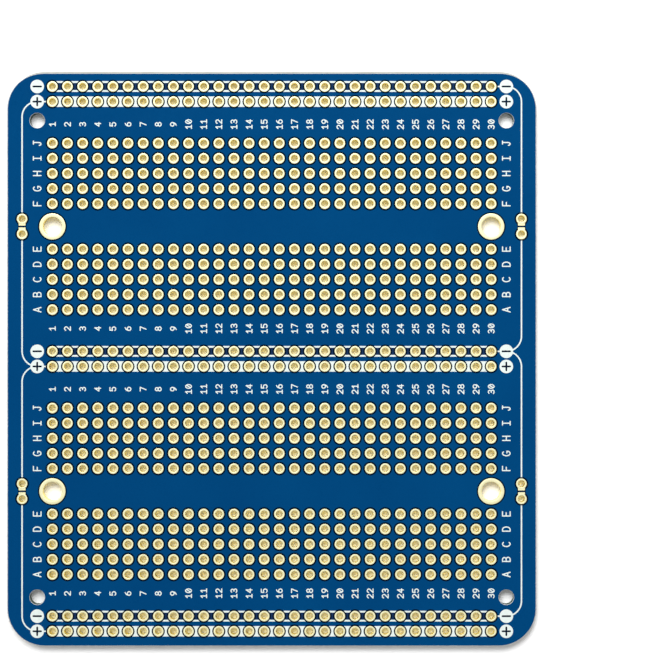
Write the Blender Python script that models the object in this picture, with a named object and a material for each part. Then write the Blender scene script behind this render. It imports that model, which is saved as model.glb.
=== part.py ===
"""Solderable prototyping board: two half-size breadboard fields on one bare circuit board.

Metres, +Z up. The board lies flat on its back face: X runs along the columns, Y up through
the rows, Z out of the printed face. The origin is under the middle of the board, at the
lowest point. Every feature sits on a 0.1 inch grid, so places are counted in grid steps.

Holes are faceted with few sides, and each has the cross-section area of its real bore.
"""

import math

import bpy

MM = 0.001
GRID = 2.54 * MM

# Laminate outline.
BOARD_WIDTH = 35 * GRID
BOARD_HEIGHT = 38 * GRID
CORNER_RADIUS = 2.5 * GRID
CORNER_STEPS = 5

# Heights of the layers.
LAMINATE_TOP = 1.560 * MM
COPPER_TOP = 1.595 * MM
INK_TOP = 1.610 * MM

# Hole field, in grid steps from the board's middle.
COLUMNS = 30
END_COLUMN = (COLUMNS - 1) / 2
RAIL_ROWS = {
    "top": (18.0, 17.0),
    "middle": (0.5, -0.5),
    "bottom": (-17.0, -18.0),
}
FIELD_FIRST_ROWS = (3.25, 10.25)
ROWS_PER_FIELD = 5

# Bores and the copper around them.
LEAD_BORE = 1.15 * MM
LEAD_BORE_SIDES = 4
LEAD_PAD = 1.9 * MM
PLATED_MOUNT_BORE = 3.2 * MM
PLATED_MOUNT_PAD = 4.5 * MM
PLAIN_MOUNT_BORE = 2.5 * MM
MOUNT_SIDES = 16
PLATING = 0.035 * MM
PRESS_GAP = 0.01 * MM

# Places of the mounting holes and of the solder jumpers, in grid steps.
PLATED_MOUNT_AT = (14.5, 8.75)
PLAIN_MOUNT_AT = (15.5, 15.75)
JUMPER_COLUMN = 16.5
JUMPER_ROW = 8.75
JUMPER_HALF_SPACING = 0.5
JUMPER_TAB_WIDTH = 1.15 * MM
JUMPER_GAP = 0.22 * MM
LINK_WIDTH = 0.4 * MM

# Printed polarity marks beside the rails.
MARK_COLUMN = 15.5
MARK_DIAMETER = 2.28 * MM
MARK_SIDES = 20
SYMBOL_LENGTH = 1.6 * MM
SYMBOL_WIDTH = 0.3 * MM

COLOURS = {
    "laminate": (0.0, 0.062, 0.198, 1.0),
    "copper": (0.83, 0.62, 0.27, 1.0),
    "plating": (0.91, 0.76, 0.44, 1.0),
    "ink": (0.88, 0.89, 0.87, 1.0),
}


def clear_scene():
    for item in list(bpy.data.objects):
        bpy.data.objects.remove(item)


def make_collection(name):
    collection = bpy.data.collections.new(name)
    bpy.context.scene.collection.children.link(collection)
    return collection


def make_material(name, roughness, metallic):
    material = bpy.data.materials.new(name)
    material.use_nodes = True
    shader = material.node_tree.nodes["Principled BSDF"]
    shader.inputs["Base Color"].default_value = COLOURS[name]
    shader.inputs["Roughness"].default_value = roughness
    shader.inputs["Metallic"].default_value = metallic
    material.diffuse_color = COLOURS[name]
    return material


def arc(centre, radius, start, end, steps):
    """Points on an arc, with the angles in degrees and both ends included."""
    points = []
    for step in range(steps + 1):
        angle = math.radians(start + (end - start) * step / steps)
        points.append((centre[0] + radius * math.cos(angle), centre[1] + radius * math.sin(angle)))
    return points


def polygon(centre, diameter, sides):
    """A regular outline, one flat side down, with its corners on the given diameter."""
    first = -90 + 180 / sides
    return arc(centre, diameter / 2, first, first + 360, sides)[:-1]


def bore(centre, diameter, sides):
    """A regular outline with the area of a round bore of this diameter."""
    turn = 2 * math.pi / sides
    return polygon(centre, diameter * math.sqrt(turn / math.sin(turn)), sides)


def rectangle(left, bottom, right, top):
    return [(left, bottom), (right, bottom), (right, top), (left, top)]


def plate(name, loops, bottom, top, material):
    """A flat sheet between two heights; the loops after the first are its openings."""
    curve = bpy.data.curves.new(name, "CURVE")
    curve.dimensions = "2D"
    curve.fill_mode = "BOTH"
    curve.extrude = (top - bottom) / 2
    for loop in loops:
        spline = curve.splines.new("POLY")
        spline.points.add(len(loop) - 1)
        for point, (x, y) in zip(spline.points, loop):
            point.co = (x, y, 0.0, 1.0)
        spline.use_cyclic_u = True
    curve.materials.append(material)
    sheet = bpy.data.objects.new(name, curve)
    sheet.location.z = (top + bottom) / 2
    return sheet


def as_mesh(sheet):
    """The sheet turned from a curve into a mesh object, ready to be joined to another."""
    bpy.context.scene.collection.objects.link(sheet)
    bpy.context.view_layer.update()
    evaluated = sheet.evaluated_get(bpy.context.evaluated_depsgraph_get())
    mesh = bpy.data.meshes.new_from_object(evaluated)
    mesh.transform(sheet.matrix_world)
    name = sheet.name
    bpy.data.objects.remove(sheet)
    return bpy.data.objects.new(name, mesh)


def add_boolean(target, tool, operation, tools):
    tools.objects.link(tool)
    tool.hide_render = True
    tool.display_type = "WIRE"
    modifier = target.modifiers.new(tool.name, "BOOLEAN")
    modifier.operation = operation
    modifier.solver = "EXACT"
    modifier.object = tool


def column_places():
    return [(column - END_COLUMN) * GRID for column in range(COLUMNS)]


def lead_rows(sign):
    """Rows of lead holes on one half of the board, in grid steps."""
    rails = [row for pair in RAIL_ROWS.values() for row in pair if row * sign > 0]
    fields = [sign * (first + step) for first in FIELD_FIRST_ROWS for step in range(ROWS_PER_FIELD)]
    return rails + fields


def jumper_rows(sign):
    return [sign * JUMPER_ROW + offset for offset in (JUMPER_HALF_SPACING, -JUMPER_HALF_SPACING)]


def laminate_half(name, sign, material):
    """One half of the glass-epoxy board with every hole in it, split along the X axis."""
    right = BOARD_WIDTH / 2
    top = BOARD_HEIGHT / 2
    corner_x = right - CORNER_RADIUS
    corner_y = top - CORNER_RADIUS
    outline = [(-right, 0.0), (right, 0.0)]
    outline += arc((corner_x, corner_y), CORNER_RADIUS, 0, 90, CORNER_STEPS)
    outline += arc((-corner_x, corner_y), CORNER_RADIUS, 90, 180, CORNER_STEPS)
    loops = [[(x, sign * y) for x, y in outline]]
    for row in lead_rows(sign):
        for x in column_places():
            loops.append(bore((x, row * GRID), LEAD_BORE, LEAD_BORE_SIDES))
    sleeve_bore = PLATED_MOUNT_BORE + 2 * (PLATING + PRESS_GAP)
    for side in (-1, 1):
        for row in jumper_rows(sign):
            place = (side * JUMPER_COLUMN * GRID, row * GRID)
            loops.append(bore(place, LEAD_BORE, LEAD_BORE_SIDES))
        plated = (side * PLATED_MOUNT_AT[0] * GRID, sign * PLATED_MOUNT_AT[1] * GRID)
        loops.append(polygon(plated, sleeve_bore, MOUNT_SIDES))
        plain = (side * PLAIN_MOUNT_AT[0] * GRID, sign * PLAIN_MOUNT_AT[1] * GRID)
        loops.append(bore(plain, PLAIN_MOUNT_BORE, MOUNT_SIDES))
    return plate(name, loops, 0.0, LAMINATE_TOP, material)


def rail_strip(name, row, material):
    """The copper strip that joins the thirty holes of one power rail."""
    end = END_COLUMN * GRID
    y = row * GRID
    outline = arc((end, y), LEAD_PAD / 2, -90, 90, 6) + arc((-end, y), LEAD_PAD / 2, 90, 270, 6)
    loops = [outline]
    for x in column_places():
        loops.append(bore((x, y), LEAD_BORE, LEAD_BORE_SIDES))
    return plate(name, loops, LAMINATE_TOP, COPPER_TOP, material)


def link_trace(name, side, row, direction, material):
    """The narrow track from the end of a rail, round a quarter turn, to its jumper pad."""
    y = row * GRID
    turn_x = MARK_COLUMN * GRID
    turn_y = y + direction * GRID
    half = LINK_WIDTH / 2
    outer = arc((turn_x, turn_y), GRID + half, -90 * direction, 0, 8)
    inner = arc((turn_x, turn_y), GRID - half, 0, -90 * direction, 8)
    start = END_COLUMN * GRID + LEAD_PAD / 4
    stop = jumper_pad_row(row, direction) * GRID - direction * LEAD_PAD / 3
    outline = [(start, outer[0][1])] + outer + [(outer[-1][0], stop), (inner[0][0], stop)]
    outline += inner + [(start, inner[-1][1])]
    loop = [(side * x, place_y) for x, place_y in outline]
    return plate(name, [loop], LAMINATE_TOP, COPPER_TOP, material)


def jumper_pad_row(row, direction):
    """Row of the jumper pad that a link reaches when it leaves a rail in this direction."""
    nearest = JUMPER_ROW if row + direction * JUMPER_ROW > 0 else -JUMPER_ROW
    return nearest - direction * JUMPER_HALF_SPACING


def jumper_pad(name, side, row, direction, material):
    """A round pad with a bore and a tab that reaches toward the facing pad."""
    centre = (side * JUMPER_COLUMN * GRID, jumper_pad_row(row, direction) * GRID)
    half_tab = JUMPER_TAB_WIDTH / 2
    reach = JUMPER_HALF_SPACING * GRID - JUMPER_GAP / 2
    half_angle = math.degrees(math.asin(half_tab / (LEAD_PAD / 2)))
    facing = 90 * direction
    outline = arc(centre, LEAD_PAD / 2, facing + half_angle, facing + 360 - half_angle, 12)
    tip = centre[1] + direction * reach
    outline += [(outline[-1][0], tip), (outline[0][0], tip)]
    loops = [outline, bore(centre, LEAD_BORE, LEAD_BORE_SIDES)]
    return plate(name, loops, LAMINATE_TOP, COPPER_TOP, material)


def power_net(name, side, row, directions, material, tools):
    """One conductor: a rail strip with its side links and their jumper pads as one sheet."""
    net = as_mesh(rail_strip(name, row, material))
    for direction in directions:
        label = name + ("_up" if direction > 0 else "_down")
        link = as_mesh(link_trace(label + "_link", side, row, direction, material))
        add_boolean(net, link, "UNION", tools)
        pad = as_mesh(jumper_pad(label + "_pad", side, row, direction, material))
        add_boolean(net, pad, "UNION", tools)
    return net


def power_nets(material, tools):
    """Three minus rails linked on the right and three plus rails linked on the left."""
    ways = {"top": (-1,), "middle": (1, -1), "bottom": (1,)}
    nets = []
    for level, (minus_row, plus_row) in RAIL_ROWS.items():
        nets.append(power_net("net_minus_" + level, 1, minus_row, ways[level], material, tools))
        nets.append(power_net("net_plus_" + level, -1, plus_row, ways[level], material, tools))
    return nets


def plated_mount(name, centre, material):
    """A plated mounting hole: a round land on the front and a sleeve down through the board."""
    radii_and_heights = (
        (PLATED_MOUNT_BORE / 2, 0.0),
        (PLATED_MOUNT_BORE / 2, COPPER_TOP),
        (PLATED_MOUNT_PAD / 2, COPPER_TOP),
        (PLATED_MOUNT_PAD / 2, LAMINATE_TOP),
        (PLATED_MOUNT_BORE / 2 + PLATING, LAMINATE_TOP),
        (PLATED_MOUNT_BORE / 2 + PLATING, 0.0),
    )
    verts = []
    for radius, height in radii_and_heights:
        ring = polygon(centre, 2 * radius, MOUNT_SIDES)
        verts += [(x, y, height) for x, y in ring]
    count = len(radii_and_heights)
    faces = []
    for level in range(count):
        lower = level * MOUNT_SIDES
        upper = (level + 1) % count * MOUNT_SIDES
        for side in range(MOUNT_SIDES):
            after = (side + 1) % MOUNT_SIDES
            faces.append((lower + after, lower + side, upper + side, upper + after))
    mesh = bpy.data.meshes.new(name)
    mesh.from_pydata(verts, [], faces)
    mesh.materials.append(material)
    return bpy.data.objects.new(name, mesh)


def plated_mounts(material):
    sleeves = []
    for level, sign in (("upper", 1), ("lower", -1)):
        for hand, side in (("left", -1), ("right", 1)):
            centre = (side * PLATED_MOUNT_AT[0] * GRID, sign * PLATED_MOUNT_AT[1] * GRID)
            sleeves.append(plated_mount("plated_hole_" + level + "_" + hand, centre, material))
    return sleeves


def minus_outline(centre):
    x, y = centre
    half_length = SYMBOL_LENGTH / 2
    half_width = SYMBOL_WIDTH / 2
    return rectangle(x - half_length, y - half_width, x + half_length, y + half_width)


def plus_outline(centre):
    """The twelve corners of a cross, worked out by turning one arm a quarter at a time."""
    half_length = SYMBOL_LENGTH / 2
    half_width = SYMBOL_WIDTH / 2
    points = []
    for quarter in range(4):
        cosine = round(math.cos(quarter * math.pi / 2))
        sine = round(math.sin(quarter * math.pi / 2))
        for x, y in ((half_length, -half_width), (half_length, half_width), (half_width, half_width)):
            points.append((centre[0] + x * cosine - y * sine, centre[1] + x * sine + y * cosine))
    return points


def polarity_marks(material):
    """A printed disc with a sign left open in it, at both ends of every rail."""
    marks = []
    for level, rows in RAIL_ROWS.items():
        for sign_name, row, symbol in zip(("minus", "plus"), rows, (minus_outline, plus_outline)):
            for hand, side in (("left", -1), ("right", 1)):
                centre = (side * MARK_COLUMN * GRID, row * GRID)
                loops = [polygon(centre, MARK_DIAMETER, MARK_SIDES), symbol(centre)]
                name = "_".join(("mark", sign_name, level, hand))
                marks.append(plate(name, loops, COPPER_TOP, INK_TOP, material))
    return marks


def main():
    clear_scene()
    board = make_collection("solderable_breadboard")
    tools = make_collection("joining_tools")
    laminate = make_material("laminate", 0.35, 0.0)
    copper = make_material("copper", 0.40, 1.0)
    plating = make_material("plating", 0.25, 1.0)
    ink = make_material("ink", 0.60, 0.0)
    pieces = [
        laminate_half("laminate_upper", 1, laminate),
        laminate_half("laminate_lower", -1, laminate),
    ]
    pieces += power_nets(copper, tools)
    pieces += plated_mounts(plating)
    pieces += polarity_marks(ink)
    for piece in pieces:
        board.objects.link(piece)


main()
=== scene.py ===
"""Looks of the solderable double breadboard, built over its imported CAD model.

Lengths here are millimetres until a mesh is made. Places on the board are grid steps of 2.54 mm
from the middle of the board, with x to the right and y up the board.
"""

import math

import bmesh
import bpy
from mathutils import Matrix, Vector, geometry


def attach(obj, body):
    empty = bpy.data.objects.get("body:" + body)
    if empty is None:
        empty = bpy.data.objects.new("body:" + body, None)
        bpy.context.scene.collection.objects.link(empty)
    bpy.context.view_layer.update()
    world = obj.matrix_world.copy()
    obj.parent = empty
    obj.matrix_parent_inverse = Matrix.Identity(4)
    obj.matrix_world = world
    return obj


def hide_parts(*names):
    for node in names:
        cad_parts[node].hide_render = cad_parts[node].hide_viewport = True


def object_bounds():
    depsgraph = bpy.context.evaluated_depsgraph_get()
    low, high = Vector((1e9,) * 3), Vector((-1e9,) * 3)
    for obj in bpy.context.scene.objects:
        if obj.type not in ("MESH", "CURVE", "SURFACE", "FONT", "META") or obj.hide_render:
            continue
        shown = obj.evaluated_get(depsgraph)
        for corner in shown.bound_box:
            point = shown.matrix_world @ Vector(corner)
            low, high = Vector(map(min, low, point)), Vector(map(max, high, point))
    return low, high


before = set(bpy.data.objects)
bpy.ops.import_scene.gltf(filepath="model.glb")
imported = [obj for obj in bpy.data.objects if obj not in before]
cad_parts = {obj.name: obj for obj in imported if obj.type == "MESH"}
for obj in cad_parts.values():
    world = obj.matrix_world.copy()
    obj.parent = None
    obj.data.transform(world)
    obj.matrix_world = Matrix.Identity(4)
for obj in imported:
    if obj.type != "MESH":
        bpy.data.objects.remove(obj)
CAD_LOW, CAD_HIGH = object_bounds()

# ---------------------------------------------------------------- sizes
MM = 0.001
BOARD_STEPS = 35  # width of the board in hole pitches
GRID = (CAD_HIGH.x - CAD_LOW.x) / MM / BOARD_STEPS
HALF_WIDTH = (CAD_HIGH.x - CAD_LOW.x) / MM / 2
HALF_HEIGHT = (CAD_HIGH.y - CAD_LOW.y) / MM / 2
CORNER_RADIUS = 2.5 * GRID
CORNER_STEPS = 16

COLUMNS = 30
END_COLUMN = 14.5
RAILS = {  # row of each power rail
    "minus_top": 18.0,
    "plus_top": 17.0,
    "minus_middle": 0.5,
    "plus_middle": -0.5,
    "minus_bottom": -17.0,
    "plus_bottom": -18.0,
}
FIELDS = {  # lowest row of each five-row field
    "upper_far": 10.25,
    "upper_near": 3.25,
    "lower_near": -7.25,
    "lower_far": -14.25,
}
FIELD_ROWS = 5

# heights of the layers, from the back of the board to the front
BACK_LIP = 0.0
BACK_PAD = 0.002
BACK_MASK = 0.014
FOIL_DEPTH = 0.020
CORE_LOW = 0.035
CORE_TOP = 1.545
MASK_TOP = 1.577
PAD_TOP = 1.584
MASK_LIP = 1.594
INK_TOP = CAD_HIGH.z / MM
INK_LOW = 1.570

LEAD_BORE = 0.585
LEAD_PAD = 0.885
LEAD_LAND = 1.17
LEAD_SIDES = 20
WALL = 0.035  # thickness of the plating in a bore
WALL_SHARE = 0.7  # how far into the plating the laminate's own bore is cut
TUCK = 0.015  # how far the foot of a land or tab spreads past its opening
LAND_ROUND = 0.010
LAND_CHAMFER = 0.012
BORE_ROUND = 0.014
BORE_LIP = 0.05
TAB_OVERLAP = 0.02  # how far a tab runs into the land of its barrel
MOUNT_BORE = 1.6
MOUNT_PAD = 2.20
MOUNT_LAND = 2.43
MOUNT_SIDES = 64
MOUNT_X, MOUNT_Y = 14.5, 8.75
PLAIN_X, PLAIN_Y = 15.5, 15.75
PLAIN_BORE = 1.25
PLAIN_OPENING = 1.31

JUMPER_X, JUMPER_Y, JUMPER_HALF = 16.5, 8.75, 0.5
TAB_ROOT = 0.5  # from the middle of a jumper pad
TAB_HALF_WIDTH = 0.575
TAB_HALF_GAP = 0.15
TAB_LAND = 0.14
STRIP_HALF = 0.68
STRIP_EDGE = 0.07

MARK_X = 15.5
MARK_RADIUS = 1.14
MARK_SIDES = 40
MARK_FOIL_INSET = 0.06
SYMBOL_LENGTH = 1.6
SYMBOL_WIDTH = 0.3
LINE_WIDTH = 0.235
LINE_FOIL_INSET = 0.02
LINK_STEPS = 14
RAIL_LINE_OFFSET = 0.75
RAIL_LINE_WIDTH = 0.29
BAND_HALF = 0.87
BAND_EDGE = 0.08
INK_CLEARANCE = 1.11

# the routed edge, and the wider bevel of the far edge
EDGE_BEVEL = 0.06
TOP_BEVEL = 0.36
TOP_BEVEL_SHARE = 0.8
BACK_BEVELS = (0.20, 0.16, 0.02)  # insets of the far edge, from the back face up
BEVEL_DEPTH = 0.10
TOP_BEVEL_DEPTH = 0.45
TOP_EDGE_SHARPNESS = 6
MASK_PULLBACK = 0.08
MASK_TOP_PULLBACK = 0.03
MASK_BACK_PULLBACK = 0.2


# ---------------------------------------------------------------- flat outlines
def circle(x, y, radius, sides):
    return [
        (
            x + radius * math.cos(math.tau * i / sides),
            y + radius * math.sin(math.tau * i / sides),
        )
        for i in range(sides)
    ]


def rectangle(x0, y0, x1, y1):
    return [(x0, y0), (x1, y0), (x1, y1), (x0, y1)]


def capsule(a, b, width, steps=4):
    """Outline of a stroke from a to b with round ends."""
    angle = math.atan2(b[1] - a[1], b[0] - a[0])
    points = []
    for centre, start in ((b, angle - math.pi / 2), (a, angle + math.pi / 2)):
        for i in range(steps + 1):
            t = start + math.pi * i / steps
            points.append(
                (
                    centre[0] + width / 2 * math.cos(t),
                    centre[1] + width / 2 * math.sin(t),
                )
            )
    return points


def strokes(path, width, steps=4):
    """Outlines of a line of strokes that share their round ends."""
    return [capsule(a, b, width, steps) for a, b in zip(path, path[1:]) if a != b]


def arc_path(x, y, rx, ry, start, end, steps):
    """Points on part of an ellipse; the angles are degrees."""
    return [
        (
            x + rx * math.cos(math.radians(start + (end - start) * i / steps)),
            y + ry * math.sin(math.radians(start + (end - start) * i / steps)),
        )
        for i in range(steps + 1)
    ]


def board_outline(inset=0.0, top_inset=None):
    """The rounded outline of the board, moved in by inset, and by top_inset on the far edge."""
    top = inset if top_inset is None else top_inset
    points = []
    for sx, sy, start in ((1, 1, 0), (-1, 1, 90), (-1, -1, 180), (1, -1, 270)):
        cx = sx * (HALF_WIDTH - CORNER_RADIUS)
        cy = sy * (HALF_HEIGHT - CORNER_RADIUS)
        for px, py in arc_path(0, 0, 1, 1, start, start + 90, CORNER_STEPS):
            share = max(0.0, py) ** TOP_EDGE_SHARPNESS if sy > 0 else 0.0
            move = inset + (top - inset) * share
            points.append((cx + (CORNER_RADIUS - move) * px, cy + (CORNER_RADIUS - move) * py))
    return points


# ---------------------------------------------------------------- places
def columns():
    return [(i - END_COLUMN) * GRID for i in range(COLUMNS)]


def rail_places(rail):
    return [(x, RAILS[rail] * GRID) for x in columns()]


def field_places(field):
    return [
        (x, (FIELDS[field] + row) * GRID) for row in range(FIELD_ROWS) for x in columns()
    ]


def jumper_places(side):
    """Jumper pads on one side of the board, as x, y and the way that the tab points in y."""
    return [
        (side * JUMPER_X * GRID, (level * JUMPER_Y + end * JUMPER_HALF) * GRID, -end)
        for level in (1, -1)
        for end in (1, -1)
    ]


def rail_jumpers(rail):
    """The jumper pads that belong to one rail's net."""
    side = -1 if rail.startswith("plus") else 1
    x = side * JUMPER_X * GRID
    level = {"top": 1, "bottom": -1}.get(rail.split("_")[1])
    if level:
        return [(x, level * (JUMPER_Y + JUMPER_HALF) * GRID, -level)]
    return [(x, way * (JUMPER_Y - JUMPER_HALF) * GRID, way) for way in (1, -1)]


def all_leads():
    places = [p for rail in RAILS for p in rail_places(rail)]
    places += [p for field in FIELDS for p in field_places(field)]
    places += [(x, y) for side in (-1, 1) for x, y, _ in jumper_places(side)]
    return places


def mount_places():
    return [(sx * MOUNT_X * GRID, sy * MOUNT_Y * GRID) for sx in (-1, 1) for sy in (1, -1)]


def plain_places():
    return [(sx * PLAIN_X * GRID, sy * PLAIN_Y * GRID) for sx in (-1, 1) for sy in (1, -1)]


def tab_outline(x, y, way, grow=0.0):
    """The bridge of foil on a jumper pad, reaching nearly half way to the next pad."""
    near = y + way * TAB_ROOT
    far = y + way * (JUMPER_HALF * GRID - TAB_HALF_GAP + grow)
    return rectangle(
        x - TAB_HALF_WIDTH - grow, min(near, far), x + TAB_HALF_WIDTH + grow, max(near, far)
    )


def link_paths(rail):
    """Centre lines from a rail's mark to its jumper pads, on the side where the rail is linked."""
    side = -1 if rail.startswith("plus") else 1
    row = RAILS[rail]
    ways = {"top": (-1,), "bottom": (1,)}.get(rail.split("_")[1], (1, -1))
    found = []
    for way in ways:
        cx, cy = side * MARK_X * GRID, (row + way) * GRID
        start = -90 * way
        sweep = -90 * way if side < 0 else 90 * way
        path = arc_path(cx, cy, GRID, GRID, start, start + sweep, LINK_STEPS)
        end = path[-1][1]
        ahead = [y for _, y, _ in rail_jumpers(rail) if (y - end) * way > 0]
        goal = min(ahead, key=lambda y: abs(y - end))
        path.append((side * JUMPER_X * GRID, goal))
        found.append(path)
    return found


# ---------------------------------------------------------------- meshes
def triangulate(loops, kept):
    """Triangles of the loops drawn together. kept is given the set of loops a triangle lies in."""
    points, faces = [], []
    for loop in loops:
        faces.append(list(range(len(points), len(points) + len(loop))))
        points += [Vector(p) for p in loop]
    made = geometry.delaunay_2d_cdt(points, [], faces, 1, 1e-5)
    verts, tris, owners = made[0], made[2], made[5]
    picked = [(t, set(o)) for t, o in zip(tris, owners) if kept(set(o))]
    used = sorted({i for t, _ in picked for i in t})
    index = {old: new for new, old in enumerate(used)}
    return (
        [tuple(verts[i]) for i in used],
        [tuple(index[i] for i in t) for t, _ in picked],
        [o for _, o in picked],
    )


def boundary(tris):
    """Directed edges that only one triangle uses."""
    edges = {}
    for a, b, c in tris:
        for edge in ((a, b), (b, c), (c, a)):
            edges[edge] = edges.get(edge, 0) + 1
    return [edge for edge in edges if (edge[1], edge[0]) not in edges]


class Shape:
    """Vertices in millimetres, faces and their material numbers, gathered before a mesh is made."""

    def __init__(self):
        self.verts, self.faces, self.slots = [], [], []

    def add(self, verts, faces, slot=0):
        base = len(self.verts)
        self.verts += verts
        self.faces += [tuple(base + i for i in f) for f in faces]
        self.slots += slot if isinstance(slot, list) else [slot] * len(faces)

    def plate(self, solids, cuts, low, high):
        """The union of the solid outlines less the cuts, from low to high."""
        count = len(solids)
        flat, tris, _ = triangulate(
            solids + cuts,
            lambda o: any(i < count for i in o) and not any(i >= count for i in o),
        )
        n = len(flat)
        verts = [(x, y, low) for x, y in flat] + [(x, y, high) for x, y in flat]
        faces = [(c, b, a) for a, b, c in tris] + [(a + n, b + n, c + n) for a, b, c in tris]
        faces += [(a, b, b + n, a + n) for a, b in boundary(tris)]
        self.add(verts, faces)

    def turned(self, profile, places, sides):
        """Closed rings of the profile, which is points of radius and height, at each place."""
        ring = [
            (math.cos(math.tau * i / sides), math.sin(math.tau * i / sides))
            for i in range(sides)
        ]
        n = len(profile)
        faces = []
        for i in range(sides):
            here, following = i * n, (i + 1) % sides * n
            for j in range(n):
                k = (j + 1) % n
                faces.append((here + j, following + j, following + k, here + k))
        for x, y in places:
            verts = [(x + r * c, y + r * s, z) for c, s in ring for r, z in profile]
            self.add(verts, faces)

    def build(self, name, materials, smooth=35):
        mesh = bpy.data.meshes.new(name)
        mesh.from_pydata([Vector(v) * MM for v in self.verts], [], self.faces)
        for material in materials:
            mesh.materials.append(material)
        mesh.polygons.foreach_set("material_index", self.slots)
        mesh.polygons.foreach_set("use_smooth", [smooth > 0] * len(self.faces))
        mesh.update()
        if smooth > 0:
            mesh.set_sharp_from_angle(angle=math.radians(smooth))
        piece = bpy.data.objects.new(name, mesh)
        bpy.context.scene.collection.objects.link(piece)
        return piece


def mask_sheet(name, materials, openings, lands, board, rim, inner, lip, cover):
    """A sheet of solder mask.

    rim and lip are the heights of its outer face on bare laminate and over foil; inner and cover
    are the heights of its inner face there. openings are cut through. lands are outlines of foil
    under the mask, each with the material slot that the mask shows there.
    """
    loops = [board] + openings + [outline for outline, _ in lands]
    first_land = 1 + len(openings)
    tones = [slot for _, slot in lands]
    flat, tris, owners = triangulate(
        loops, lambda o: 0 in o and not any(1 <= i < first_land for i in o)
    )
    over_foil = [
        min((tones[i - first_land] for i in o if i >= first_land), default=0) for o in owners
    ]
    raised = [True] * len(flat)
    for tri, foil in zip(tris, over_foil):
        if not foil:
            for i in tri:
                raised[i] = False
    n = len(flat)
    outer = [(x, y, lip if up else rim) for (x, y), up in zip(flat, raised)]
    verts = [(x, y, cover if up else inner) for (x, y), up in zip(flat, raised)] + outer
    if rim < inner:
        faces = tris + [(c + n, b + n, a + n) for a, b, c in tris]
        walls = [(b, a, a + n, b + n) for a, b in boundary(tris)]
    else:
        faces = [(c, b, a) for a, b, c in tris] + [(a + n, b + n, c + n) for a, b, c in tris]
        walls = [(a, b, b + n, a + n) for a, b in boundary(tris)]
    slots = [0] * len(tris) + over_foil + [0] * len(walls)
    shape = Shape()
    shape.add(verts, faces + walls, slots)
    return shape.build(name, materials, smooth=0)


def laminate_shape():
    """The glass-epoxy sheet with all its holes, and edges cut in steps like a routed panel."""
    levels = [  # height, inset, inset on the far edge
        (CORE_LOW, EDGE_BEVEL, BACK_BEVELS[0]),
        (CORE_LOW + BEVEL_DEPTH, 0.0, BACK_BEVELS[1]),
        (CORE_LOW + TOP_BEVEL_DEPTH, 0.0, BACK_BEVELS[2]),
        (CORE_TOP - TOP_BEVEL_DEPTH, 0.0, 0.0),
        (CORE_TOP - BEVEL_DEPTH, 0.0, TOP_BEVEL * TOP_BEVEL_SHARE),
        (CORE_TOP, EDGE_BEVEL, TOP_BEVEL),
    ]
    bores = [circle(x, y, LEAD_BORE + WALL * WALL_SHARE, LEAD_SIDES) for x, y in all_leads()]
    bores += [circle(x, y, MOUNT_BORE + WALL * WALL_SHARE, MOUNT_SIDES) for x, y in mount_places()]
    bores += [circle(x, y, PLAIN_BORE, MOUNT_SIDES) for x, y in plain_places()]
    shape = Shape()
    for (height, inset, top_inset), up in ((levels[0], False), (levels[-1], True)):
        flat, tris, _ = triangulate(
            [board_outline(inset, top_inset)] + bores, lambda o: o == {0}
        )
        verts = [(x, y, height) for x, y in flat]
        shape.add(verts, tris if up else [(c, b, a) for a, b, c in tris], 1)
    # the bore walls take slot 2, whose dark colour is painted shade
    for loop in bores:
        n = len(loop)
        verts = [(x, y, CORE_LOW) for x, y in loop] + [(x, y, CORE_TOP) for x, y in loop]
        faces = [((i + 1) % n, i, i + n, (i + 1) % n + n) for i in range(n)]
        shape.add(verts, faces, 2)
    rings = [[(x, y, h) for x, y in board_outline(a, b)] for h, a, b in levels]
    n = len(rings[0])
    faces = [
        (k * n + i, k * n + (i + 1) % n, (k + 1) * n + (i + 1) % n, (k + 1) * n + i)
        for k in range(len(rings) - 1)
        for i in range(n)
    ]
    shape.add([p for ring in rings for p in ring], faces, 0)
    return shape


def barrel_profile(bore, pad):
    """Section of a plated barrel with a land on each face, as one closed loop."""
    land = pad + TUCK
    return [
        (land, CORE_TOP),
        (land, PAD_TOP - LAND_ROUND),
        (pad - LAND_CHAMFER, PAD_TOP),
        (bore + BORE_LIP, PAD_TOP),
        (bore + LAND_CHAMFER, PAD_TOP - BORE_ROUND),
        (bore, PAD_TOP - BORE_LIP),
        (bore, BACK_PAD + BORE_LIP),
        (bore + LAND_CHAMFER, BACK_PAD + BORE_ROUND),
        (bore + BORE_LIP, BACK_PAD),
        (pad - LAND_CHAMFER, BACK_PAD),
        (land, BACK_PAD + LAND_ROUND),
        (land, CORE_LOW),
        (bore + WALL, CORE_LOW),
        (bore + WALL, CORE_TOP),
    ]


# ---------------------------------------------------------------- letters and numbers
def line(*points):
    return list(points)


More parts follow.
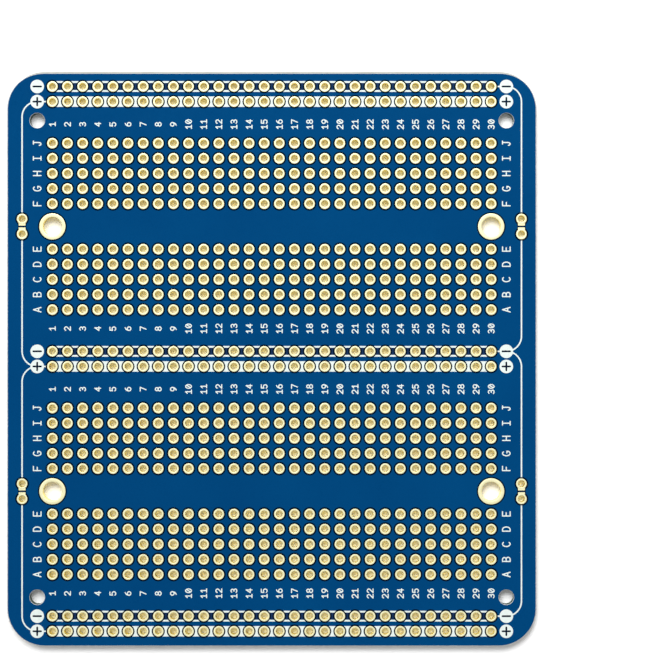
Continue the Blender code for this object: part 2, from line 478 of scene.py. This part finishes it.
GLYPHS = {
    "0": [arc_path(0.5, 0.5, 0.5, 0.5, 0, 360, 16), line((0.24, 0.22), (0.76, 0.78))],
    "1": [line((0.12, 0.72), (0.55, 1.0), (0.55, 0.0)), line((0.1, 0.0), (1.0, 0.0))],
    "2": [arc_path(0.5, 0.7, 0.48, 0.3, 165, -20, 8) + [(0.0, 0.0), (1.0, 0.0)]],
    "3": [
        arc_path(0.48, 0.745, 0.44, 0.255, 150, -90, 8) + [(0.36, 0.49)],
        arc_path(0.48, 0.255, 0.5, 0.255, 90, -150, 8),
    ],
    "4": [line((0.72, 0.0), (0.72, 1.0), (0.0, 0.3), (1.0, 0.3))],
    "5": [line((0.92, 1.0), (0.1, 1.0), (0.04, 0.56)) + arc_path(0.47, 0.32, 0.5, 0.32, 125, -150, 9)],
    "6": [
        arc_path(0.5, 0.31, 0.48, 0.31, 0, 360, 14),
        arc_path(1.0, 0.32, 0.98, 0.68, 180, 105, 6),
    ],
    "7": [line((0.0, 1.0), (1.0, 1.0), (0.34, 0.0))],
    "8": [
        arc_path(0.5, 0.755, 0.42, 0.245, 0, 360, 14),
        arc_path(0.5, 0.255, 0.5, 0.255, 0, 360, 14),
    ],
    "9": [
        arc_path(0.5, 0.69, 0.48, 0.31, 0, 360, 14),
        arc_path(0.0, 0.68, 0.98, 0.68, 0, -75, 6),
    ],
    "A": [line((0.0, 0.0), (0.5, 1.0), (1.0, 0.0)), line((0.17, 0.32), (0.83, 0.32))],
    "B": [
        line((0.5, 0.52), (0.05, 0.52), (0.05, 1.0), (0.5, 1.0)),
        arc_path(0.52, 0.76, 0.38, 0.24, 90, -90, 7),
        line((0.05, 0.52), (0.05, 0.0), (0.52, 0.0)),
        arc_path(0.52, 0.26, 0.46, 0.26, 90, -90, 7),
    ],
    "C": [arc_path(0.54, 0.5, 0.54, 0.5, 48, 312, 14)],
    "D": [
        line((0.42, 1.0), (0.05, 1.0), (0.05, 0.0), (0.42, 0.0)),
        arc_path(0.42, 0.5, 0.56, 0.5, 90, -90, 10),
    ],
    "E": [line((1.0, 1.0), (0.06, 1.0), (0.06, 0.0), (1.0, 0.0)), line((0.06, 0.52), (0.8, 0.52))],
    "F": [line((1.0, 1.0), (0.06, 1.0), (0.06, 0.0)), line((0.06, 0.5), (0.8, 0.5))],
    "G": [arc_path(0.52, 0.5, 0.52, 0.5, 50, 330, 14) + [(1.0, 0.42), (0.6, 0.42)]],
    "H": [line((0.04, 0.0), (0.04, 1.0)), line((0.96, 0.0), (0.96, 1.0)), line((0.04, 0.5), (0.96, 0.5))],
    "I": [line((0.5, 0.0), (0.5, 1.0)), line((0.1, 0.0), (0.9, 0.0)), line((0.1, 1.0), (0.9, 1.0))],
    "J": [
        line((0.3, 1.0), (0.98, 1.0)),
        line((0.66, 1.0), (0.66, 0.28)) + arc_path(0.34, 0.28, 0.32, 0.28, 0, -170, 7),
    ],
}
DIGIT_FACE = (0.62, 0.98, 0.175)  # width, height and stroke
DIGIT_ADVANCE = 0.91
LETTER_FACE = (0.76, 1.28, 0.185)
NUMBER_ROWS = {"far": 15.5, "upper": 2.0, "lower": -2.0, "near": -15.5}
LETTER_X = 15.5


def glyph(character, width, height, stroke):
    """Flat triangles of one character about its own middle, turned to read up the board."""
    outlines = []
    for path in GLYPHS[character]:
        placed = [(-(v - 0.5) * height, (u - 0.5) * width) for u, v in path]
        outlines += strokes(placed, stroke)
    flat, tris, _ = triangulate(outlines, lambda o: bool(o))
    return flat, tris, boundary(tris)


GLYPH_CACHE = {}


def print_character(shape, character, x, y, face):
    """Add one character to the shape; face is the width, height and stroke of the lettering."""
    key = (character, face)
    if key not in GLYPH_CACHE:
        GLYPH_CACHE[key] = glyph(character, *face)
    flat, tris, edges = GLYPH_CACHE[key]
    n = len(flat)
    verts = [(x + u, y + v, INK_LOW) for u, v in flat] + [(x + u, y + v, INK_TOP) for u, v in flat]
    faces = [(c, b, a) for a, b, c in tris] + [(a + n, b + n, c + n) for a, b, c in tris]
    faces += [(a, b, b + n, a + n) for a, b in edges]
    shape.add(verts, faces)


def number_row(row):
    shape = Shape()
    for i, x in enumerate(columns()):
        text = str(i + 1)
        for j, character in enumerate(text):
            offset = (j - (len(text) - 1) / 2) * DIGIT_ADVANCE
            print_character(shape, character, x, row * GRID + offset, DIGIT_FACE)
    return shape


def letter_column(side, half):
    """The ten row letters of one half of the board, at one side."""
    shape = Shape()
    fields = ("upper_near", "upper_far") if half == "upper" else ("lower_far", "lower_near")
    for field, names in zip(fields, ("ABCDE", "FGHIJ")):
        for row, character in enumerate(names):
            y = (FIELDS[field] + row) * GRID
            print_character(shape, character, side * LETTER_X * GRID, y, LETTER_FACE)
    return shape


# ---------------------------------------------------------------- materials
def node_material(name):
    material = bpy.data.materials.new(name)
    material.use_nodes = True
    nodes, links = material.node_tree.nodes, material.node_tree.links
    nodes.clear()
    output = nodes.new("ShaderNodeOutputMaterial")
    shader = nodes.new("ShaderNodeBsdfPrincipled")
    links.new(shader.outputs["BSDF"], output.inputs["Surface"])
    return material, nodes, links, shader


def noise(nodes, links, scale, detail=4.0, roughness=0.55, stretch=None):
    """Noise in object space, with scale in features per metre."""
    coordinates = nodes.new("ShaderNodeTexCoord")
    texture = nodes.new("ShaderNodeTexNoise")
    texture.inputs["Scale"].default_value = scale
    texture.inputs["Detail"].default_value = detail
    texture.inputs["Roughness"].default_value = roughness
    source = coordinates.outputs["Object"]
    if stretch:
        mapping = nodes.new("ShaderNodeMapping")
        mapping.inputs["Scale"].default_value = stretch
        links.new(source, mapping.inputs["Vector"])
        source = mapping.outputs["Vector"]
    links.new(source, texture.inputs["Vector"])
    return texture.outputs["Fac"]


def ramp(nodes, links, source, stops):
    """Colours along a 0 to 1 value."""
    node = nodes.new("ShaderNodeValToRGB")
    elements = node.color_ramp.elements
    while len(elements) < len(stops):
        elements.new(0.5)
    for element, (position, colour) in zip(elements, stops):
        element.position = position
        element.color = (*colour, 1.0)
    links.new(source, node.inputs["Fac"])
    return node.outputs["Color"]


def spread(nodes, links, source, low, high, start=0.3, end=0.7):
    """A value taken from low to high as source goes from start to end."""
    node = nodes.new("ShaderNodeMapRange")
    node.inputs["From Min"].default_value = start
    node.inputs["From Max"].default_value = end
    node.inputs["To Min"].default_value = low
    node.inputs["To Max"].default_value = high
    links.new(source, node.inputs["Value"])
    return node.outputs["Result"]


def bump(nodes, links, source, distance, strength=1.0, under=None):
    node = nodes.new("ShaderNodeBump")
    node.inputs["Strength"].default_value = strength
    node.inputs["Distance"].default_value = distance
    links.new(source, node.inputs["Height"])
    if under:
        links.new(under, node.inputs["Normal"])
    return node.outputs["Normal"]


def mix_colour(nodes, links, factor, a, b):
    node = nodes.new("ShaderNodeMix")
    node.data_type = "RGBA"
    links.new(factor, node.inputs["Factor"])
    for socket, value in ((node.inputs[6], a), (node.inputs[7], b)):
        if isinstance(value, tuple):
            socket.default_value = (*value, 1.0)
        else:
            links.new(value, socket)
    return node.outputs[2]


ORANGE_PEEL = 0.000004


def mask_material(name, dark, light, specular):
    """Gloss solder mask: colour drifts a little over the board, with an orange-peel surface."""
    material, nodes, links, shader = node_material(name)
    drift = noise(nodes, links, 45, 3)
    grain = noise(nodes, links, 5200, 2)
    base = ramp(nodes, links, drift, [(0.3, dark), (0.7, light)])
    speck = spread(nodes, links, grain, 0.0, 0.22, 0.55, 0.75)
    colour = mix_colour(nodes, links, speck, base, tuple(c * 0.55 for c in dark))
    links.new(colour, shader.inputs["Base Color"])
    links.new(spread(nodes, links, noise(nodes, links, 900, 3), 0.24, 0.38), shader.inputs["Roughness"])
    shader.inputs["Specular IOR Level"].default_value = specular
    shader.inputs["Specular Tint"].default_value = (0.02, 0.16, 0.30, 1.0)
    peel = bump(nodes, links, noise(nodes, links, 1500, 2), ORANGE_PEEL)
    links.new(peel, shader.inputs["Normal"])
    return material


def gold_material(name):
    """Immersion gold over copper, satin. Its colour is split by how the surface faces: pale on the lands as
    a painted sheen, deeper gold on the bore walls as painted bounce light.
    """
    material, nodes, links, shader = node_material(name)
    cloud = noise(nodes, links, 420, 4)
    # one gold painted two ways: a pale painted sheen on the flat lands, deeper painted bounce light on the
    # bore walls
    face = ramp(nodes, links, cloud, [(0.3, (0.74, 0.71, 0.42)), (0.7, (0.80, 0.77, 0.49))])
    wall = ramp(nodes, links, cloud, [(0.3, (1.0, 0.83, 0.24)), (0.7, (1.0, 0.88, 0.31))])
    facing = nodes.new("ShaderNodeSeparateXYZ")
    links.new(nodes.new("ShaderNodeNewGeometry").outputs["True Normal"], facing.inputs["Vector"])
    upright = nodes.new("ShaderNodeMath")
    upright.operation = "ABSOLUTE"
    links.new(facing.outputs["Z"], upright.inputs[0])
    flatness = spread(nodes, links, upright.outputs["Value"], 0.0, 1.0, 0.35, 0.85)
    # the surface's facing picks between the painted sheen of the lands and the painted bounce of the bores
    links.new(mix_colour(nodes, links, flatness, wall, face), shader.inputs["Base Color"])
    links.new(spread(nodes, links, flatness, 0.9, 0.3, 0.0, 1.0), shader.inputs["Metallic"])
    satin = spread(nodes, links, noise(nodes, links, 2400, 3), 0.30, 0.48)
    polish = nodes.new("ShaderNodeMath")
    polish.operation = "MULTIPLY"
    links.new(satin, polish.inputs[0])
    links.new(spread(nodes, links, flatness, 0.7, 1.0, 0.0, 1.0), polish.inputs[1])
    links.new(polish.outputs["Value"], shader.inputs["Roughness"])
    scratch = noise(nodes, links, 1800, 3, 0.6, (1.0, 6.0, 1.0))
    fine = bump(nodes, links, noise(nodes, links, 9000, 2), 0.000003)
    links.new(bump(nodes, links, scratch, 0.000003, 0.6, fine), shader.inputs["Normal"])
    return material


def foil_material(name):
    """Bare copper foil as it lies under the mask, rolled along the strips."""
    material, nodes, links, shader = node_material(name)
    cloud = noise(nodes, links, 600, 4)
    rolled = noise(nodes, links, 2600, 3, 0.6, (6.0, 1.0, 1.0))
    colour = ramp(nodes, links, cloud, [(0.3, (0.72, 0.33, 0.20)), (0.7, (0.82, 0.41, 0.26))])
    links.new(colour, shader.inputs["Base Color"])
    shader.inputs["Metallic"].default_value = 1.0
    links.new(spread(nodes, links, rolled, 0.28, 0.46), shader.inputs["Roughness"])
    links.new(bump(nodes, links, rolled, 0.000003), shader.inputs["Normal"])
    return material


def ink_material(name):
    """Screen-printed white: slightly uneven cover and a chalky surface."""
    material, nodes, links, shader = node_material(name)
    cover = noise(nodes, links, 1700, 4, 0.65)
    thin, usual, full = (0.56, 0.64, 0.62), (0.63, 0.70, 0.67), (0.67, 0.73, 0.70)
    base = ramp(nodes, links, cover, [(0.28, thin), (0.45, usual), (0.7, full)])
    links.new(base, shader.inputs["Base Color"])
    links.new(spread(nodes, links, noise(nodes, links, 4000, 3), 0.5, 0.72), shader.inputs["Roughness"])
    shader.inputs["Specular IOR Level"].default_value = 0.3
    links.new(bump(nodes, links, noise(nodes, links, 6500, 3), 0.000006), shader.inputs["Normal"])
    return material


def edge_material(name):
    """Cut glass-epoxy: pale resin with fine glass layers and broken fibres."""
    material, nodes, links, shader = node_material(name)
    layers = noise(nodes, links, 900, 3, 0.6, (0.25, 0.25, 9.0))
    fibres = noise(nodes, links, 3800, 4, 0.7, (1.0, 1.0, 3.0))
    resin = ramp(nodes, links, layers, [(0.35, (0.24, 0.25, 0.21)), (0.6, (0.38, 0.39, 0.36))])
    speck = spread(nodes, links, fibres, 0.0, 0.7, 0.52, 0.72)
    colour = mix_colour(nodes, links, speck, resin, (0.52, 0.53, 0.52))
    links.new(colour, shader.inputs["Base Color"])
    links.new(spread(nodes, links, fibres, 0.55, 0.85), shader.inputs["Roughness"])
    rough = bump(nodes, links, layers, 0.00003, 0.8)
    links.new(bump(nodes, links, fibres, 0.00002, 0.8, rough), shader.inputs["Normal"])
    return material


def painted_shade_bore_material(name):
    """Drilled wall: glass rings in resin, rough, with its colour painted near black as painted shade inside
    the holes.
    """
    material, nodes, links, shader = node_material(name)
    layers = noise(nodes, links, 900, 3, 0.6, (0.3, 0.3, 8.0))
    # the near-black ramp is painted shade on the bore walls
    links.new(
        ramp(nodes, links, layers, [(0.35, (0.03, 0.05, 0.04)), (0.65, (0.10, 0.14, 0.11))]),
        shader.inputs["Base Color"],
    )
    links.new(spread(nodes, links, layers, 0.6, 0.85), shader.inputs["Roughness"])
    links.new(bump(nodes, links, layers, 0.00003), shader.inputs["Normal"])
    return material


def weave_material(name):
    """Laminate face seen in the openings round unplated holes."""
    material, nodes, links, shader = node_material(name)
    mottle = noise(nodes, links, 2600, 4)
    colour = ramp(nodes, links, mottle, [(0.35, (0.46, 0.49, 0.49)), (0.65, (0.74, 0.76, 0.75))])
    links.new(colour, shader.inputs["Base Color"])
    links.new(spread(nodes, links, mottle, 0.5, 0.75), shader.inputs["Roughness"])
    links.new(bump(nodes, links, mottle, 0.00001), shader.inputs["Normal"])
    return material


def floor_material(name):
    """Matt white studio floor, a little uneven in tone."""
    material, nodes, links, shader = node_material(name)
    cloud = noise(nodes, links, 9, 3)
    colour = ramp(nodes, links, cloud, [(0.3, (0.94, 0.94, 0.94)), (0.7, (0.97, 0.97, 0.97))])
    links.new(colour, shader.inputs["Base Color"])
    links.new(spread(nodes, links, cloud, 0.8, 0.9), shader.inputs["Roughness"])
    shader.inputs["Specular IOR Level"].default_value = 0.1
    links.new(bump(nodes, links, noise(nodes, links, 3000, 2), 0.000002), shader.inputs["Normal"])
    return material


MASK = mask_material("solder_mask", (0.0003, 0.041, 0.139), (0.0004, 0.048, 0.155), 0.25)
# mask over the front lands: real land under it, but coloured near black as painted shade round each pad
MASK_LAND_PAINTED_SHADE = mask_material("solder_mask_on_lands_painted_shade", (0.0006, 0.003, 0.011), (0.001, 0.005, 0.017), 0.25)
MASK_RAIL = mask_material("solder_mask_on_rails", (0.008, 0.022, 0.070), (0.010, 0.028, 0.086), 0.25)
MASK_BACK = mask_material("solder_mask_back", (0.0014, 0.050, 0.140), (0.0020, 0.062, 0.165), 0.3)
MASK_BACK_FOIL = mask_material("solder_mask_back_on_foil", (0.002, 0.075, 0.185), (0.003, 0.090, 0.215), 0.3)
GOLD = gold_material("immersion_gold_painted_sheen_and_bounce")
FOIL = foil_material("copper_foil")
INK = ink_material("screen_ink")
EDGE = edge_material("laminate_edge")
WEAVE = weave_material("laminate_face")
# laminate bore walls: colour painted near black as painted shade
PAINTED_SHADE_BORE = painted_shade_bore_material("laminate_bore_painted_shade")


# ---------------------------------------------------------------- the board
def finish_piece(piece, slot, *nodes):
    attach(piece, "root")
    if nodes:
        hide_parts(*nodes)


def build_core():
    piece = laminate_shape().build("laminate_core", [EDGE, WEAVE, PAINTED_SHADE_BORE], smooth=25)
    sheet = bmesh.new()
    sheet.from_mesh(piece.data)
    bmesh.ops.remove_doubles(sheet, verts=sheet.verts, dist=0.0000005)
    bmesh.ops.recalc_face_normals(sheet, faces=sheet.faces)
    sheet.to_mesh(piece.data)
    sheet.free()
    finish_piece(piece, "laminate", "laminate_upper", "laminate_lower")


def tab_openings(grow=0.0):
    return [
        tab_outline(x, y, way, grow)
        for side in (-1, 1)
        for x, y, way in jumper_places(side)
    ]


def build_masks():
    """The two mask sheets. Slot 1 is the tone over lands (on the front painted near black, as painted shade
    round the pads and marks), slot 2 over the power nets' foil.
    """
    openings = [circle(x, y, LEAD_PAD, LEAD_SIDES) for x, y in all_leads()]
    openings += [circle(x, y, MOUNT_PAD, MOUNT_SIDES) for x, y in mount_places()]
    openings += [circle(x, y, PLAIN_OPENING, MOUNT_SIDES) for x, y in plain_places()]
    lands = [(circle(x, y, LEAD_LAND, LEAD_SIDES), 1) for x, y in all_leads()]
    lands += [(circle(x, y, MOUNT_LAND, MOUNT_SIDES), 1) for x, y in mount_places()]
    front_board = board_outline(EDGE_BEVEL + MASK_PULLBACK, TOP_BEVEL + MASK_TOP_PULLBACK)
    back_board = board_outline(EDGE_BEVEL + MASK_PULLBACK, EDGE_BEVEL + MASK_BACK_PULLBACK)

    front_lands = lands + [(outline, 1) for outline in tab_openings(TAB_LAND)]
    end = END_COLUMN * GRID
    for rail, row in RAILS.items():
        for side in (-1, 1):
            # the discs under the marks take the same near-black tone of painted shade
            disc = circle(side * MARK_X * GRID, row * GRID, MARK_RADIUS - MARK_FOIL_INSET, MARK_SIDES)
            front_lands.append((disc, 1))
        for half in (BAND_HALF, BAND_HALF - BAND_EDGE):
            front_lands.append((rectangle(-end, row * GRID - half, end, row * GRID + half), 2))
        for path in link_paths(rail):
            foil = strokes(path, LINE_WIDTH - LINE_FOIL_INSET, 3)
            front_lands += [(outline, 2) for outline in foil]
    front = mask_sheet(
        "solder_mask_front",
        [MASK, MASK_LAND_PAINTED_SHADE, MASK_RAIL],
        openings + tab_openings(),
        front_lands,
        front_board,
        MASK_TOP,
        CORE_TOP,
        MASK_LIP,
        CORE_TOP,
    )
    finish_piece(front, "laminate")

    back_lands = list(lands)
    for field in FIELDS.values():
        low, high = field * GRID, (field + FIELD_ROWS - 1) * GRID
        for x in columns():
            for half in (STRIP_HALF + STRIP_EDGE, STRIP_HALF):
                back_lands.append((rectangle(x - half, low, x + half, high), 1))
    back = mask_sheet(
        "solder_mask_back",
        [MASK_BACK, MASK_BACK_FOIL],
        openings,
        back_lands,
        back_board,
        BACK_MASK,
        CORE_LOW,
        BACK_LIP,
        CORE_LOW - FOIL_DEPTH,
    )
    finish_piece(back, "laminate")


def build_strips():
    """The foil that joins each column of five holes, on the back of the laminate."""
    for field, row in FIELDS.items():
        low, high = row * GRID, (row + FIELD_ROWS - 1) * GRID
        solids = [rectangle(x - STRIP_HALF, low, x + STRIP_HALF, high) for x in columns()]
        cuts = [circle(x, y, LEAD_BORE + WALL, LEAD_SIDES) for x, y in field_places(field)]
        shape = Shape()
        shape.plate(solids, cuts, CORE_LOW - FOIL_DEPTH, CORE_LOW)
        finish_piece(shape.build("foil_strips_" + field, [FOIL], smooth=0), "copper")


def build_plating():
    lead = barrel_profile(LEAD_BORE, LEAD_PAD)
    for field in FIELDS:
        shape = Shape()
        shape.turned(lead, field_places(field), LEAD_SIDES)
        finish_piece(shape.build("plated_leads_" + field, [GOLD]), "plating")
    for rail in RAILS:
        shape = Shape()
        shape.turned(lead, rail_places(rail), LEAD_SIDES)
        for x, y, way in rail_jumpers(rail):
            shape.turned(lead, [(x, y)], LEAD_SIDES)
            shape.plate(
                [tab_outline(x, y, way, TUCK)],
                [circle(x, y, LEAD_PAD - TAB_OVERLAP, LEAD_SIDES)],
                CORE_TOP,
                PAD_TOP,
            )
        finish_piece(shape.build("plated_rail_" + rail, [GOLD]), "copper", "net_" + rail)
    mount = barrel_profile(MOUNT_BORE, MOUNT_PAD)
    names = ("upper_left", "lower_left", "upper_right", "lower_right")
    for place, name in zip(mount_places(), names):
        shape = Shape()
        shape.turned(mount, [place], MOUNT_SIDES)
        finish_piece(shape.build("plated_mount_" + name, [GOLD]), "plating", "plated_hole_" + name)


def build_rail_print():
    end = END_COLUMN * GRID
    for rail, row in RAILS.items():
        y = row * GRID
        cuts = [circle(px, py, INK_CLEARANCE, LEAD_SIDES) for px, py in rail_places(rail)]
        if rail.startswith("plus"):
            solids = [rectangle(-end, y - BAND_HALF, end, y + BAND_HALF)]
        else:
            half = RAIL_LINE_WIDTH / 2
            middles = (y - RAIL_LINE_OFFSET, y + RAIL_LINE_OFFSET)
            solids = [rectangle(-end, middle - half, end, middle + half) for middle in middles]
        shape = Shape()
        shape.plate(solids, cuts, INK_LOW, INK_TOP)
        finish_piece(shape.build("print_rail_" + rail, [INK]), "ink")


def build_links():
    end = END_COLUMN * GRID
    for rail, row in RAILS.items():
        side = -1 if rail.startswith("plus") else 1
        y = row * GRID
        solids = strokes([(side * end, y), (side * MARK_X * GRID, y)], LINE_WIDTH)
        for path in link_paths(rail):
            solids += strokes(path, LINE_WIDTH)
        pads = [(side * end, y)] + [(px, py) for px, py, _ in rail_jumpers(rail)]
        cuts = [circle(side * MARK_X * GRID, y, MARK_RADIUS, MARK_SIDES)]
        cuts += [circle(px, py, INK_CLEARANCE, LEAD_SIDES) for px, py in pads]
        shape = Shape()
        shape.plate(solids, cuts, INK_LOW, INK_TOP)
        finish_piece(shape.build("print_link_" + rail, [INK]), "ink")


def build_marks():
    reach = (SYMBOL_LENGTH - SYMBOL_WIDTH) / 2
    for rail, row in RAILS.items():
        for side, name in ((-1, "left"), (1, "right")):
            x, y = side * MARK_X * GRID, row * GRID
            cuts = [capsule((x - reach, y), (x + reach, y), SYMBOL_WIDTH)]
            if rail.startswith("plus"):
                cuts.append(capsule((x, y - reach), (x, y + reach), SYMBOL_WIDTH))
            shape = Shape()
            shape.plate([circle(x, y, MARK_RADIUS, MARK_SIDES)], cuts, INK_LOW, INK_TOP)
            finish_piece(shape.build(f"print_mark_{rail}_{name}", [INK]), "ink", f"mark_{rail}_{name}")


def build_characters():
    for name, row in NUMBER_ROWS.items():
        finish_piece(number_row(row).build("print_numbers_" + name, [INK]), "ink")
    for side, name in ((-1, "left"), (1, "right")):
        for half in ("upper", "lower"):
            piece = letter_column(side, half).build(f"print_letters_{half}_{name}", [INK])
            finish_piece(piece, "ink")


# ---------------------------------------------------------------- stage
CAMERA_HEIGHT = 0.292
VISIBLE_HEIGHT = 0.11027
FRAME_OFFSET = (0.0086, 0.0051)
KEY_AZIMUTH, KEY_ELEVATION = 118.0, 51.0
SUN_STRENGTH, SUN_ANGLE = 2.0, 36.0
SOFTBOX_PLACE = (0.03, 0.19, 0.26)
SOFTBOX_SIZE, SOFTBOX_POWER = 0.20, 0.60
FLOOR_DROP = 0.00003
FLOOR_HALF, FLOOR_DEPTH = 4000.0, 2.0  # millimetres
SKY = [(0.0, 0.85), (0.1, 0.85), (0.25, 0.30), (0.8, 0.34), (0.93, 0.80)]  # sine of height, brightness


def build_floor():
    shape = Shape()
    whole = rectangle(-FLOOR_HALF, -FLOOR_HALF, FLOOR_HALF, FLOOR_HALF)
    shape.plate([whole], [], -FLOOR_DEPTH, -FLOOR_DROP / MM)
    floor = shape.build("studio_floor", [floor_material("studio_white")], smooth=0)


def build_sky():
    """A plain grey surround, brighter at the horizon and overhead."""
    world = bpy.data.worlds.new("studio")
    bpy.context.scene.world = world
    world.use_nodes = True
    nodes, links = world.node_tree.nodes, world.node_tree.links
    nodes.clear()
    output = nodes.new("ShaderNodeOutputWorld")
    background = nodes.new("ShaderNodeBackground")
    direction = nodes.new("ShaderNodeSeparateXYZ")
    links.new(nodes.new("ShaderNodeTexCoord").outputs["Generated"], direction.inputs["Vector"])
    glow = ramp(nodes, links, direction.outputs["Z"], [(height, (grey,) * 3) for height, grey in SKY])
    links.new(glow, background.inputs["Color"])
    background.inputs["Strength"].default_value = 1.0
    links.new(background.outputs["Background"], output.inputs["Surface"])


def build_lights():
    """A soft sun from the far left and a round softbox near the far edge."""
    azimuth, elevation = math.radians(KEY_AZIMUTH), math.radians(KEY_ELEVATION)
    toward_sun = Vector(
        (
            math.cos(azimuth) * math.cos(elevation),
            math.sin(azimuth) * math.cos(elevation),
            math.sin(elevation),
        )
    )
    sun = bpy.data.lights.new("key_sun", "SUN")
    sun.energy = SUN_STRENGTH
    sun.angle = math.radians(SUN_ANGLE)
    softbox = bpy.data.lights.new("near_softbox", "AREA")
    softbox.shape = "DISK"
    softbox.size = SOFTBOX_SIZE
    softbox.energy = SOFTBOX_POWER
    for light, place in ((sun, toward_sun), (softbox, Vector(SOFTBOX_PLACE))):
        lamp = bpy.data.objects.new(light.name, light)
        bpy.context.scene.collection.objects.link(lamp)
        lamp.location = place
        lamp.rotation_euler = place.to_track_quat("Z", "Y").to_euler()


def build_camera():
    """A camera straight above the board, a little off its middle."""
    lens = bpy.data.cameras.new("camera")
    lens.sensor_width = 36.0
    lens.lens = lens.sensor_width * CAMERA_HEIGHT / VISIBLE_HEIGHT
    lens.clip_start, lens.clip_end = 0.01, 50.0
    lens.dof.use_dof = False
    camera = bpy.data.objects.new("camera", lens)
    camera.location = (
        (CAD_LOW.x + CAD_HIGH.x) / 2 + FRAME_OFFSET[0],
        (CAD_LOW.y + CAD_HIGH.y) / 2 + FRAME_OFFSET[1],
        CAD_HIGH.z + CAMERA_HEIGHT,
    )
    bpy.context.scene.collection.objects.link(camera)
    bpy.context.scene.camera = camera
    bpy.context.scene.view_settings.view_transform = "Standard"


build_core()
build_masks()
build_strips()
build_plating()
build_rail_print()
build_links()
build_marks()
build_characters()
build_floor()
build_sky()
build_lights()
build_camera()
